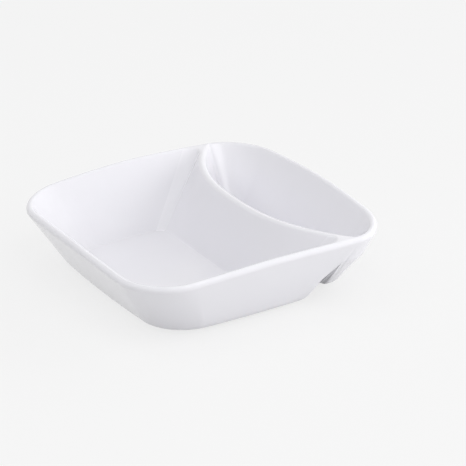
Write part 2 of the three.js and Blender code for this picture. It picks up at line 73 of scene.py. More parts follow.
def operator(kind: str, swapped: bool = False) -> Callable[["Value", Number], "Value"]:
    """Makes one of the operators of a wrapped socket.

    Args:
        kind: The operation of the Math node that it adds.
        swapped: Whether the other number comes first.

    Returns:
        The operator, as a method.
    """

    def method(self: "Value", other: Number) -> "Value":
        """Adds the Math node and returns its result."""
        sides = (other, self) if swapped else (self, other)
        return self.graph.maths(kind, *sides)

    return method


class Value:
    """A socket in a node tree, on whose numbers Python's operators add Math nodes."""

    def __init__(self, graph: "Graph", socket: bpy.types.NodeSocket) -> None:
        """Wraps one socket of the graph."""
        self.graph = graph
        self.socket = socket

    __add__, __radd__ = operator("ADD"), operator("ADD", swapped=True)
    __sub__, __rsub__ = operator("SUBTRACT"), operator("SUBTRACT", swapped=True)
    __mul__, __rmul__ = operator("MULTIPLY"), operator("MULTIPLY", swapped=True)
    __truediv__, __rtruediv__ = operator("DIVIDE"), operator("DIVIDE", swapped=True)
    __gt__ = operator("GREATER_THAN")


class Graph:
    """A node tree with one way of adding nodes to it."""

    def __init__(self, tree: bpy.types.NodeTree) -> None:
        """Takes the tree that the nodes go into."""
        self.tree = tree

    def node(self, kind: str, settings: Settings = None, sockets: Sockets = None) -> bpy.types.Node:
        """Adds one node.

        Args:
            kind: The node's type.
            settings: Its own settings, which are set first.
            sockets: Values or links for its sockets, by name or number.

        Returns:
            The new node.
        """
        made = self.tree.nodes.new(kind)
        for name, setting in (settings or {}).items():
            setattr(made, name, setting)
        for key, given in (sockets or {}).items():
            if isinstance(given, Value):
                self.tree.links.new(given.socket, made.inputs[key])
            else:
                made.inputs[key].default_value = given
        return made

    def output(self, node: bpy.types.Node, key: Key = 0) -> Value:
        """Wraps one output of a node."""
        return Value(self, node.outputs[key])

    def result(
        self, kind: str, settings: Settings = None, sockets: Sockets = None, key: Key = 0
    ) -> Value:
        """Adds one node as the method node does, and returns one of its outputs."""
        return self.output(self.node(kind, settings, sockets), key)

    def maths(self, kind: str, *values: Number) -> Value:
        """Adds a Math node on the given values and returns its result."""
        return self.result("ShaderNodeMath", {"operation": kind}, dict(enumerate(values)))


def fresh_graph(owner: Union[bpy.types.Material, bpy.types.World]) -> Graph:
    """Returns the emptied node tree of a new material or world."""
    owner.use_nodes = True
    owner.node_tree.nodes.clear()
    return Graph(owner.node_tree)


class Rule(Enum):
    """The functions of the wall rule, each with its plain form."""

    COSINE = (math.cos,)
    SINE = (math.sin,)
    ARCCOSINE = (math.acos,)
    ARCTAN2 = (math.atan2,)
    SQRT = (math.sqrt,)
    MINIMUM = (min,)
    MAXIMUM = (max,)

    def __call__(self, *values: Number) -> Number:
        """Works the function out on plain numbers, or adds its Math node on sockets."""
        for value in values:
            if isinstance(value, Value):
                return value.graph.maths(self.name, *values)
        return self.value[0](*values)


def mix(start: Any, end: Any, share: Number) -> Any:
    """Returns the value that lies a share of the way from start to end."""
    return start + (end - start) * share


def held(value: Number) -> Number:
    """Returns the value kept between 0 and 1."""
    return Rule.MINIMUM(Rule.MAXIMUM(value, 0.0), 1.0)


def eased(share: float) -> float:
    """Returns a share from 0 to 1 with a soft start and end."""
    kept = held(share)
    return kept * kept * (3.0 - 2.0 * kept)


def flare(y: float, half: float, power: float) -> float:
    """Returns how far a curve has left its middle at y, from 0 to 1 at half."""
    return min(abs(y) / half, 1.0) ** power


def unit(way: complex) -> complex:
    """Returns a direction of length one."""
    return way / abs(way)


def along_x(start: float, end: float, curve: Callable[[float], float]) -> Curve:
    """Returns an edge that runs in x, with y from a curve."""

    def edge(share: float) -> complex:
        """Returns the edge's place at a share of its run."""
        x = mix(start, end, share)
        return complex(x, curve(x))

    return edge


def along_y(start: float, end: float, curve: Callable[[float], float]) -> Curve:
    """Returns an edge that runs in y, with x from a curve."""
    mirrored = along_x(start, end, curve)
    return lambda share: 1j * mirrored(share).conjugate()


def heading(edge: Curve, share: float) -> complex:
    """Returns the direction in which an edge runs at a share of its run."""
    step = 1e-4
    return unit(edge(min(share + step, 1.0)) - edge(max(share - step, 0.0)))


@dataclass(frozen=True)
class Section:
    """One wall's outline, the same for plain numbers and for sockets.

    It starts on a rounded edge, goes down a straight face and ends on a rounded foot. Stations RIDGE to
    FALL lie on the edge, FALL to BEND on the face and BEND to FLAT on the foot.

    Attributes:
        run: How far in from the edge's middle the foot ends.
        top: Height of the edge.
        edge: Radius of the edge.
        bottom: Height of the level that the foot runs on to.
        foot: Radius of the foot.
        turn: 1 for a foot that runs out on a floor, -1 for one that tucks under a base.
    """

    run: Number
    top: Number
    edge: Number
    bottom: Number
    foot: Number
    turn: Number

    def at(self, station: Number) -> tuple[Number, Number, Number]:
        """Finds one station of the outline.

        Args:
            station: Which station, from RIDGE to FLAT.

        Returns:
            How far in it lies, its height, and its share of the way from edge to foot.
        """
        drop = self.bottom + self.foot - self.top + self.edge
        both = self.edge + self.turn * self.foot
        reach = Rule.SQRT(self.run * self.run + drop * drop)
        tuck = (1.0 - self.turn) * math.pi
        slope = Rule.ARCTAN2(drop, self.run) + self.turn * Rule.ARCCOSINE(both / reach) + tuck
        over = mix(math.pi / 2, slope, held(station))
        down = held(station - FALL)
        out = mix(slope, tuck / 2 + math.pi / 2, held(station - BEND))
        lean, rise = Rule.COSINE(slope), Rule.SINE(slope)
        sweep = self.turn * self.foot
        beyond = down * (self.run - both * lean) + sweep * (lean - Rule.COSINE(out))
        below = down * (drop - both * rise) + sweep * (rise - Rule.SINE(out))
        inward = self.edge * Rule.COSINE(over) + beyond
        height = self.top - self.edge + self.edge * Rule.SINE(over) + below
        return inward, height, beyond / (self.run - self.edge * lean)


@dataclass(frozen=True)
class Rounds:
    """Radii of the moulding's rounded edges and feet, in millimetres."""

    lip: float = 4.0
    crest: float = 5.0
    groove_roof: float = 3.0
    floor: float = 2.0
    base: float = 20.0
    groove_foot: float = 8.0

    @property
    def edges(self) -> Triple:
        """The radii of the lip, the crest and the groove's roof."""
        return (self.lip, self.crest, self.groove_roof)

    @property
    def feet(self) -> Triple:
        """The radii of the feet on the floor, under the base and in the groove."""
        return (self.floor, self.base, self.groove_foot)


class Footing(Enum):
    """What a wall ends on: the foot's shares of the three radii, and which way it turns."""

    FLOOR = ((1.0, 0.0, 0.0), 1.0)
    BASE = ((0.0, 1.0, 0.0), -1.0)
    GROOVE = ((0.0, 0.0, 1.0), 1.0)


def blended(shares: Triple, sizes: Triple) -> float:
    """Returns the sum of three sizes by their shares."""
    return sum(share * size for share, size in zip(shares, sizes))


@dataclass(frozen=True)
class Wall:
    """One upright slice of wall, from a place on a ridge line to its foot.

    Attributes:
        ridge: Where the edge stands.
        top: Height of the edge.
        inward: Unit direction in which the section lies.
        foot: Where the foot ends.
        bottom: Height of the level at the foot.
        edges: Shares of lip, crest and groove roof in the edge's radius.
        footing: What the foot ends on.
    """

    ridge: complex
    top: float
    inward: complex
    foot: complex
    bottom: float
    edges: Triple
    footing: Footing

    def section(self, rounds: Rounds) -> Section:
        """Returns the slice's outline."""
        run = ((self.foot - self.ridge) / self.inward).real
        feet, turn = self.footing.value
        edge, foot = blended(self.edges, rounds.edges), blended(feet, rounds.feet)
        return Section(run, self.top, edge, self.bottom, foot, turn)

    def spot(self, station: float, rounds: Rounds) -> complex:
        """Returns the place in plan of one station."""
        inward, _, share = self.section(rounds).at(station)
        aside = ((self.foot - self.ridge) / self.inward).imag
        return self.ridge + self.inward * complex(inward, aside * share)

    def station_at(self, level: float, rounds: Rounds) -> float:
        """Returns the station at which the straight face reaches a level."""
        section = self.section(rounds)
        upper, lower = section.at(FALL)[1], section.at(BEND)[1]
        return FALL + (upper - level) / (upper - lower)


@dataclass(frozen=True)
class Detail:
    """How finely the moulding is divided.

    Attributes:
        corner: Columns in a turned corner.
        long: Columns along a long side.
        end: Columns along a short side.
        crest: Columns along the divider.
        short: Columns along the side well's ends.
        lead: Columns along a web's border.
        inner_edge: Steps over the edge of an inside wall.
        inner_wall: Steps down an inside wall's face.
        outer_edge: Steps over the edge of an outside wall.
        upper_wall: Steps down an outside wall to the groove's level.
        lower_wall: Steps down an outside wall below it.
        foot: Steps round a foot.
        web: Spacing of the points in a web, in millimetres.
        web_margin: Share of that spacing which stays clear of a web's outline.
        web_merge: Distance in millimetres within which a web's points are one.
        web_rounds: How often a web's heights are evened out.
        inset: Shares at which a floor's rings shrink.
    """

    corner: int = 20
    long: int = 36
    end: int = 40
    crest: int = 64
    short: int = 4
    lead: int = 6
    inner_edge: int = 10
    inner_wall: int = 10
    outer_edge: int = 12
    upper_wall: int = 8
    lower_wall: int = 8
    foot: int = 10
    web: float = 2.5
    web_margin: float = 0.55
    web_merge: float = 1e-5
    web_rounds: int = 120
    inset: tuple[float, ...] = (0.97, 0.88, 0.62, 0.32)


@dataclass(frozen=True)
class Column:
    """A place on a loop where a slice of wall stands.

    Attributes:
        spot: Where it stands.
        inward: Unit direction towards the middle of the loop.
        edge: Which of the loop's four edges it stands on or turns from.
        corner: The corner that it turns, or None on an edge.
        turned: How far round that corner it is, from 0 to 1.
        lead: Whether it borders a web.
    """

    spot: complex
    inward: complex
    edge: int
    corner: Optional[int] = None
    turned: float = 0.0
    lead: bool = False


@dataclass(frozen=True)
class Loop:
    """A closed line of four edges with turned corners.

    Attributes:
        edges: The four edges, each ending where the next one starts.
        setbacks: For each edge's start, how far before and after the corner its turn reaches.
        counts: Columns along each edge.
        leads: Shares of each edge at its start and end that border a web.
    """

    edges: Sequence[Curve]
    setbacks: Sequence[Pair]
    counts: Sequence[int]
    leads: Sequence[Pair] = (NONE, NONE, NONE, NONE)

    def columns(self, detail: Detail) -> list[Column]:
        """Returns the loop's columns in order.

        Args:
            detail: How finely corners and leads are divided.

        Returns:
            The columns, each edge's first and then those of the corner after it.
        """
        lengths = [abs(edge(1.0) - edge(0.0)) for edge in self.edges]
        starts = [back[1] / size for back, size in zip(self.setbacks, lengths)]
        ends = [1.0 - self.setbacks[self._after(e)][0] / size for e, size in enumerate(lengths)]
        made: list[Column] = []
        for e, edge in enumerate(self.edges):
            for share, lead in self._shares(e, detail.lead):
                t = mix(starts[e], ends[e], share)
                made.append(Column(edge(t), 1j * heading(edge, t), e, lead=lead))
            made += self._corner(e, ends[e], starts[self._after(e)], detail.corner)
        return made

    def _after(self, e: int) -> int:
        """Returns which edge comes after one."""
        return (e + 1) % len(self.edges)

    def _shares(self, e: int, steps: int) -> list[tuple[float, bool]]:
        """Returns the shares of an edge at which columns stand, and whether each borders a web."""
        lead_in, lead_out = self.leads[e]
        spans = [
            (0.0, lead_in, steps if lead_in else 0, True),
            (lead_in, 1.0 - lead_out, self.counts[e], False),
            (1.0 - lead_out, 1.0, steps if lead_out else 0, True),
        ]
        return [(mix(a, b, i / n), lead) for a, b, n, lead in spans for i in range(n)]

    def _corner(self, e: int, leaves: float, joins: float, steps: int) -> list[Column]:
        """Turns the corner after one edge.

        Args:
            e: The edge before the corner.
            leaves: Share of that edge at which the turn starts.
            joins: Share of the next edge at which it ends.
            steps: Columns in the turn.

        Returns:
            The columns of the turn, which fan about the corner itself where there is no setback.
        """
        after = self._after(e)
        before, behind = self.edges[e], self.edges[after]
        start, end, corner = before(leaves), behind(joins), before(1.0)
        way = heading(before, leaves)
        bend = cmath.phase(heading(behind, joins) / way)
        # A curve's handle this share of the way to the corner gives a round turn.
        handle = 0.5523
        a, b = mix(start, corner, handle), mix(end, corner, handle)
        made = []
        for i in range(steps):
            t = i / steps
            spot, facing = start, way * cmath.rect(1.0, bend * t)
            if abs(end - start) > TOUCHING:
                r = 1.0 - t
                spot = r**3 * start + 3 * r * r * t * a + 3 * r * t * t * b + t**3 * end
                facing = unit(r * r * (a - start) + 2 * r * t * (b - a) + t * t * (end - b))
            made.append(Column(spot, 1j * facing, e, after, t))
        return made


@dataclass(frozen=True)
class Well:
    """The loops of one well, with matching columns.

    Attributes:
        ridge: The line that the inside walls start from.
        floor: Where the inside walls end on the floor.
        outside: The line that the outside walls start from.
        base: Where the outside walls end under the base.
        crest_edge: Which edge of the loops follows the divider.
        dull: How little shine its inside corners at the divider have.
        FAR: Which edge of any well's loops follows the far side.
    """

    FAR: ClassVar[int] = 2

    ridge: list[Column]
    floor: list[Column]
    outside: list[Column]
    base: list[Column]
    crest_edge: int
    dull: float

    def crest_share(self, column: Column) -> float:
        """Returns how far a column has turned from the rim to the divider's crest."""
        on_crest = column.edge == self.crest_edge
        if column.corner is None:
            return 1.0 if on_crest else 0.0
        if column.corner == self.crest_edge:
            return column.turned
        return 1.0 - column.turned if on_crest else 0.0

    def at_junction(self, column: Column) -> bool:
        """Tells whether a column turns where the divider meets the rim."""
        return column.corner is not None and self.crest_edge in (column.corner, column.edge)


@dataclass(frozen=True)
class Rim:
    """The outline: a rounded oblong with bowed sides and corners that sit a little low."""

    length: float = 335.0
    width: float = 291.0
    height: float = 74.0
    lip: float = 4.0
    bow_x: float = 6.5
    bow_y: float = 7.5
    setback_x: float = 48.0
    setback_y: float = 55.0
    dip: float = 5.8
    dip_power: float = 1.5

    @property
    def corner_x(self) -> float:
        """How far out in x the long sides end."""
        return self.width / 2 - self.lip - self.bow_x

    @property
    def corner_y(self) -> float:
        """How far out in y the short sides end."""
        return self.length / 2 - self.lip - self.bow_y

    def side_y(self, x: float) -> float:
        """Returns the y of the long side at x."""
        return self.length / 2 - self.lip - self.bow_y * (x / self.corner_x) ** 2

    def side_x(self, y: float) -> float:
        """Returns the x of the short side at y."""
        return self.width / 2 - self.lip - self.bow_x * (y / self.corner_y) ** 2

    def top(self, spot: complex) -> float:
        """Returns the rim's height at a place."""
        share = abs(spot.real * spot.imag) / (self.corner_x * self.corner_y)
        return self.height - self.dip * share**self.dip_power


@dataclass(frozen=True)
class Crest:
    """The divider's top: bowed towards the main well, flaring into the rim at both ends."""

    rim: Rim = Rim()
    mid_from_rim: float = 102.5
    end_from_rim: float = 53.0
    power: float = 2.55
    drop: float = 1.2
    drop_power: float = 4.0
    straight: float = 4.0

    @property
    def mid_x(self) -> float:
        """The crest's x halfway along the divider."""
        return self.rim.width / 2 - self.mid_from_rim

    @property
    def end(self) -> complex:
        """Where the crest meets the far long side."""
        x = self.rim.width / 2 - self.end_from_rim
        return complex(x, self.rim.side_y(x))

    def x(self, y: float) -> float:
        """Returns the crest's x at y."""
        return mix(self.mid_x, self.end.real, flare(y, self.end.imag, self.power))

    def z(self, y: float) -> float:
        """Returns the crest's height at y."""
        share = flare(y, self.end.imag, self.drop_power)
        return mix(self.rim.height - self.drop, self.rim.top(self.end), share)


@dataclass(frozen=True)
class Groove:
    """The groove open underneath the divider, running out through both long walls."""

    roof: float = 8.0
    end_offset: float = 12.5
    end_drop: float = 29.0
    end_run: float = 40.0
    ease: float = 75.0


@dataclass(frozen=True)
class Floors:
    """What both wells' floors share."""

    wall_run: float = 48.0
    thickness: float = 4.5
    foot_height: float = 1.5

    @property
    def floor_z(self) -> float:
        """Height of the wells' floors."""
        return self.foot_height + self.thickness


@dataclass(frozen=True)
class MainSizes:
    """Sizes of the main well."""

    divider_run: float = 30.5
    base_step: float = 1.0
    floor_bow: float = 4.0
    floor_corner: float = 34.0
    inner_corner: float = 7.0
    web_rim: float = 30.0
    web_crest: float = 24.0
    foot_inset: float = 7.0


@dataclass(frozen=True)
class SideSizes:
    """Sizes of the side well."""

    divider_run: float = 29.5
    end_run: float = 68.0
    tip_offset: float = 8.5
    floor_bow: float = 5.0
    floor_corner: float = 4.0
    web_rim: float = 3.0
    web_crest: float = 8.0
    foot_inset: float = 3.0


@dataclass(frozen=True)
class DishPlan:
    """The dish in plan: its sizes and the loops that they give."""

    rim: Rim = Rim()
    crest: Crest = Crest()
    groove: Groove = Groove()
    floors: Floors = Floors()
    main: MainSizes = MainSizes()
    side: SideSizes = SideSizes()
    rounds: Rounds = Rounds()
    detail: Detail = Detail()

    @property
    def floor_half_x(self) -> float:
        """How far out in x the floors reach."""
        return self.rim.width / 2 - self.floors.wall_run

    @property
    def floor_half_y(self) -> float:
        """How far out in y the main floor reaches."""
        return self.rim.length / 2 - self.floors.wall_run

    @property
    def groove_end_x(self) -> float:
        """The x at which the groove runs out."""
        return self.crest.end.real - self.groove.end_offset

    @property
    def groove_end_z(self) -> float:
        """The height at which the groove runs out."""
        return self.rim.height - self.groove.end_drop

    @cached_property
    def main_well(self) -> Well:
        """The main well's loops."""
        rim, crest, main, detail = self.rim, self.crest, self.main, self.detail
        x, y, end = rim.corner_x, rim.corner_y, crest.end
        ridge = (
            along_x(-x, end.real, lambda v: -rim.side_y(v)),
            along_y(-end.imag, end.imag, crest.x),
            along_x(end.real, -x, rim.side_y),
            along_y(y, -y, lambda v: -rim.side_x(v)),
        )
        floor_x = crest.mid_x - main.divider_run
        base_mid, base_end = floor_x + main.base_step, self.groove_end_x - self.groove.end_run
        half = self.floor_half_y
        floor = self._main_floor(lambda v: floor_x, floor_x)
        base = self._main_floor(lambda v: mix(base_mid, base_end, flare(v, half, crest.power)), base_end)
        near, far = (rim.setback_y, rim.setback_x), (rim.setback_x, rim.setback_y)
        web, turned = (main.web_rim, main.web_crest), (main.web_crest, main.web_rim)
        outer, inner = (main.floor_corner,) * 2, (main.inner_corner,) * 2
        feet = (outer, inner, inner, outer)
        counts = (detail.long, detail.crest, detail.long, detail.end)
        lead = main.web_rim / (abs(ridge[0](1.0) - ridge[0](0.0)) - rim.setback_x)
        leads = ((0.0, lead), NONE, (lead, 0.0), NONE)
        return Well(
            Loop(ridge, (near, web, turned, far), counts).columns(detail),
            Loop(floor, feet, counts).columns(detail),
            Loop(ridge, (near, NONE, NONE, far), counts, leads).columns(detail),
            Loop(base, feet, counts, leads).columns(detail),
            crest_edge=1,
            dull=1.0,
        )

    def _main_floor(self, divider: Callable[[float], float], end_x: float) -> tuple[Curve, ...]:
        """Returns the main floor's edges.

        Args:
            divider: The x of the edge along the divider at y.
            end_x: Where the long edges meet it.

        Returns:
            The four edges.
        """
        bow, half_x, half_y = self.main.floor_bow, self.floor_half_x, self.floor_half_y
        out_x, out_y = -half_x + bow, half_y - bow

        def long(x: float) -> float:
            """Returns the y of the long edge at x."""
            return half_y - bow * (min(x, 0.0) / out_x) ** 2

        return (
            along_x(out_x, end_x, lambda v: -long(v)),
            along_y(-half_y, half_y, divider),
            along_x(end_x, out_x, long),
            along_y(out_y, -out_y, lambda v: -half_x + bow * (v / out_y) ** 2),
        )

    @cached_property
    def side_well(self) -> Well:
        """The side well's loops."""
        rim, crest, side, detail = self.rim, self.crest, self.side, self.detail
        x, y, end = rim.corner_x, rim.corner_y, crest.end
        ridge = (
            along_x(end.real, x, lambda v: -rim.side_y(v)),
            along_y(-y, y, rim.side_x),
            along_x(x, end.real, rim.side_y),
            along_y(end.imag, -end.imag, crest.x),
        )
        half, far_x = rim.length / 2 - side.end_run, self.floor_half_x - side.floor_bow
        mid_x, tip_x = crest.mid_x + side.divider_run, end.real - side.tip_offset
        floor = (
            along_x(tip_x, far_x, lambda v: -half),
            along_y(-half, half, lambda v: self.floor_half_x - side.floor_bow * (v / half) ** 2),
            along_x(far_x, tip_x, lambda v: half),
            along_y(half, -half, lambda v: mix(mid_x, tip_x, flare(v, half, crest.power))),
        )
        back = x - end.real - crest.straight
        near, far = (back, rim.setback_y), (rim.setback_y, back)
        web, turned = (side.web_rim, side.web_crest), (side.web_crest, side.web_rim)
        feet = [(side.floor_corner,) * 2] * len(floor)
        counts = (detail.short, detail.end, detail.short, detail.crest)
        size = abs(ridge[3](1.0) - ridge[3](0.0)) - 2 * side.web_crest
        crest_lead = (self.main.web_crest - side.web_crest) / size
        rim_lead = side.web_rim / (abs(ridge[0](1.0) - ridge[0](0.0)) - back)
        inner = (NONE, NONE, NONE, (crest_lead, crest_lead))
        outer = ((rim_lead, 0.0), NONE, (0.0, rim_lead), NONE)
        return Well(
            Loop(ridge, (turned, near, far, web), counts, inner).columns(detail),
            Loop(floor, feet, counts, inner).columns(detail),
            Loop(ridge, (NONE, near, far, NONE), counts, outer).columns(detail),
            Loop(floor, feet, counts, outer).columns(detail),
            crest_edge=3,
            dull=0.0,
        )

    def inner_top(self, well: Well, column: Column) -> float:
        """Returns the height of a well's ridge at a column."""
        rim_top, crest_top = self.rim.top(column.spot), self.crest.z(column.spot.imag)
        return mix(rim_top, crest_top, well.crest_share(column))

    def inner_wall(self, well: Well, i: int) -> Wall:
        """Returns the slice of a well's inside wall at one column."""
        column = well.ridge[i]
        share = well.crest_share(column)
        return Wall(
            column.spot, self.inner_top(well, column), column.inward, well.floor[i].spot,
            self.floors.floor_z, (1.0 - share, share, 0.0), Footing.FLOOR,
        )

    def outer_wall(self, column: Column, foot: complex) -> Wall:
        """Returns the slice of outside wall from a column of the rim to its foot."""
        top, base_z = self.rim.top(column.spot), self.floors.foot_height
        return Wall(column.spot, top, column.inward, foot, base_z, ALL_LIP, Footing.BASE)

    def split(self, wall: Wall) -> float:
        """Returns the station at which a slice comes down to the groove's level."""
        return wall.station_at(self.groove_end_z, self.rounds)

    def split_spot(self, wall: Wall) -> complex:
        """Returns the place at which a slice comes down to the groove's level."""
        return wall.spot(self.split(wall), self.rounds)

    def leaning_wall(self, column: Column, run: float, lean: float) -> Wall:
        """Leans a slice of outside wall so that it reaches the groove's level at a given place.

        Args:
            column: The column of the rim that it starts from.
            run: How far in the section reaches.
            lean: How far aside it has gone where it comes down to the groove's level.

        Returns:
            The leaning slice.
        """
        upright = self.outer_wall(column, column.spot + column.inward * run)
        share = upright.section(self.rounds).at(self.split(upright))[2]
        return replace(upright, foot=column.spot + column.inward * complex(run, lean / share))

    def run_out(self, side: float) -> Wall:
        """Returns the slice of long wall where the divider runs out, on the far or the near side."""
        end = self.crest.end
        slope = 2 * self.rim.bow_y * end.real / self.rim.corner_x**2
        column = Column(complex(end.real, side * end.imag), unit(complex(-slope, -side)), 0)
        lean = (-self.groove.end_offset / column.inward).imag
        return self.leaning_wall(column, self.crest.end.imag - self.floor_half_y, lean)

    def mouth(self, side: float) -> complex:
        """Returns where the groove runs out, on the far or the near side."""
        return self.split_spot(self.run_out(side))

    def beside_run_out(self, column: Column, foot: complex, share: float) -> Wall:
        """Eases a slice of the side well's outside wall towards the run-out beside it.

        Args:
            column: The column of the rim that it starts from.
            foot: Where its own foot stands.
            share: How near the run-out it is, 1 at the run-out itself.

        Returns:
            The eased slice.
        """
        own_spot = self.split_spot(self.outer_wall(column, foot))
        own_lean = ((own_spot - column.spot) / column.inward).imag
        mouth_lean = (-self.groove.end_offset / column.inward).imag
        own_run = ((foot - column.spot) / column.inward).real
        run = mix(own_run, self.crest.end.imag - self.floor_half_y, share)
        return self.leaning_wall(column, run, mix(own_lean, mouth_lean, share))

    def tail(self, spot: complex, foot: complex, footing: Footing) -> Wall:
        """Returns the slice that goes on from a place at the groove's level down to a foot.

        Args:
            spot: Where it starts, at the groove's level.
            foot: Where its foot ends.
            footing: Whether it is a side of the groove or goes on with the outside wall.

        Returns:
            The slice, which runs out at the groove's foot or tucks under the base.
        """
        base_z = self.floors.foot_height
        return Wall(spot, self.groove_end_z, unit(foot - spot), foot, base_z, ZERO, footing)

    def groove_wall(self, y: float, foot: complex) -> Wall:
        """Returns the slice of the groove's side at a place along the divider."""
        half = self.mouth(1.0).imag
        bend = flare(y, half, self.crest.power)
        roof = complex(mix(self.crest.mid_x, self.mouth(1.0).real, bend), y)
        top = mix(self.rim.height - self.crest.drop - self.groove.roof, self.groove_end_z, bend)
        edges = (0.0, 0.0, 1.0 - flare(y, half, self.crest.drop_power))
        base_z = self.floors.foot_height
        return Wall(roof, top, unit(foot - roof), foot, base_z, edges, Footing.GROOVE)


class Face(Enum):
    """The sides of the moulding that its finish tells apart."""

    INSIDE = 0.0
    OUTSIDE = 1.0


class Skin:
    """A mesh in the making: points that the wall rule sets, loose points, and faces."""

    RULE = ("ridge", "inward", "foot", "edges", "feet")
    NUMBERS = ("turn", "station", "ruled")
    LOOKS = ("dull", "polish")

    def __init__(self) -> None:
        """Starts with nothing."""
        self.places: list[Triple] = []
        self.vectors: dict[str, list[float]] = {name: [] for name in self.RULE}
        self.numbers: dict[str, list[float]] = {name: [] for name in (*self.NUMBERS, *self.LOOKS)}
        self.faces: list[tuple[int, ...]] = []

    def wall_point(self, wall: Wall, station: float, dull: float = 0.0) -> int:
        """Adds a point that the wall rule places, and returns its number.

        Args:
            wall: The slice of wall that it lies on.
            station: How far down the slice it lies.
            dull: How little shine an inside wall has there.

        Returns:
            The point's number.
        """
        ridge, way, foot = wall.ridge, wall.inward, wall.foot
        feet, turn = wall.footing.value
        self.vectors["ridge"] += (ridge.real * MM, ridge.imag * MM, wall.top * MM)
        self.vectors["inward"] += (way.real, way.imag, 0.0)
        self.vectors["foot"] += (foot.real * MM, foot.imag * MM, wall.bottom * MM)
        self.vectors["edges"] += wall.edges
        self.vectors["feet"] += feet
        inside = wall.footing is Footing.FLOOR
        kept_dull = dull * held(station) if inside else held(station - BEND)
        polish = (wall.edges[0] + wall.edges[1]) * (1.0 - held(station))
        return self._count(ZERO, (turn, station, 1.0, kept_dull, polish))

    def loose_point(self, spot: complex, height: float, dull: float, polish: float) -> int:
        """Adds a point at a given place, and returns its number."""
        for name in self.RULE:
            self.vectors[name] += ZERO
        return self._count((spot.real * MM, spot.imag * MM, height * MM), (*ZERO, dull, polish))

    def _count(self, place: Triple, numbers: Sequence[float]) -> int:
        """Adds what every point has, and returns the point's number."""
        self.places.append(place)
        for values, number in zip(self.numbers.values(), numbers):
            values.append(number)
        return len(self.places) - 1

    def strip(self, here: Sequence[int], there: Sequence[int]) -> None:
        """Adds the faces between two columns of points."""
        for k in range(len(here) - 1):
            self.faces.append((here[k], here[k + 1], there[k + 1], there[k]))

    def mesh(self, name: str) -> bpy.types.Mesh:
        """Returns the points and faces as a Blender mesh with the rule's attributes."""
        mesh = bpy.data.meshes.new(name)
        mesh.from_pydata(self.places, [], self.faces)
        for key, values in self.vectors.items():
            mesh.attributes.new(key, "FLOAT_VECTOR", "POINT").data.foreach_set("vector", values)
        for key, values in self.numbers.items():
            mesh.attributes.new(key, "FLOAT", "POINT").data.foreach_set("value", values)
        return mesh


class ShapeTree:
    """A Geometry Nodes tree that takes a mesh, named sizes and a material."""

    def __init__(self, name: str, sizes: Sequence[str]) -> None:
        """Makes the tree with its inputs and its output.

        Args:
            name: The tree's name.
            sizes: The names of its sizes.
        """
        self.tree = bpy.data.node_groups.new(name, "GeometryNodeTree")
        self.graph = Graph(self.tree)
        shape = {"Geometry": "Geometry"}
        inputs = {**shape, **dict.fromkeys(sizes, "Float"), "Material": "Material"}
        for side, sockets in (("INPUT", inputs), ("OUTPUT", shape)):
            for key, kind in sockets.items():
                self.tree.interface.new_socket(key, in_out=side, socket_type=f"NodeSocket{kind}")
        entry = self.graph.node("NodeGroupInput")
        self.given = {key: self.graph.output(entry, key) for key in inputs}

    def end_on(self, shape: Value) -> None:
        """Ends the tree on a shape: makes instances real and sets the material."""
        real = self.graph.result("GeometryNodeRealizeInstances", None, {"Geometry": shape})
        links = {"Geometry": real, "Material": self.given["Material"]}
        dressed = self.graph.result("GeometryNodeSetMaterial", None, links)
        self.graph.node("NodeGroupOutput", None, {"Geometry": dressed})

    def apply(self, obj: bpy.types.Object, inputs: Mapping[str, Any]) -> None:
        """Runs the tree on an object and keeps its result as a plain mesh.

        Args:
            obj: The object, whose mesh is replaced.
            inputs: Values for the tree's named inputs.
        """
        modifier = obj.modifiers.new("shape", "NODES")
        modifier.node_group = self.tree
        for item in self.tree.interface.items_tree:
            if item.in_out == "INPUT" and item.name in inputs:
                modifier[item.identifier] = inputs[item.name]
        depsgraph = bpy.context.evaluated_depsgraph_get()
        mesh = bpy.data.meshes.new_from_object(obj.evaluated_get(depsgraph))
        obj.modifiers.remove(modifier)
        mesh.name = obj.name
        obj.data = mesh


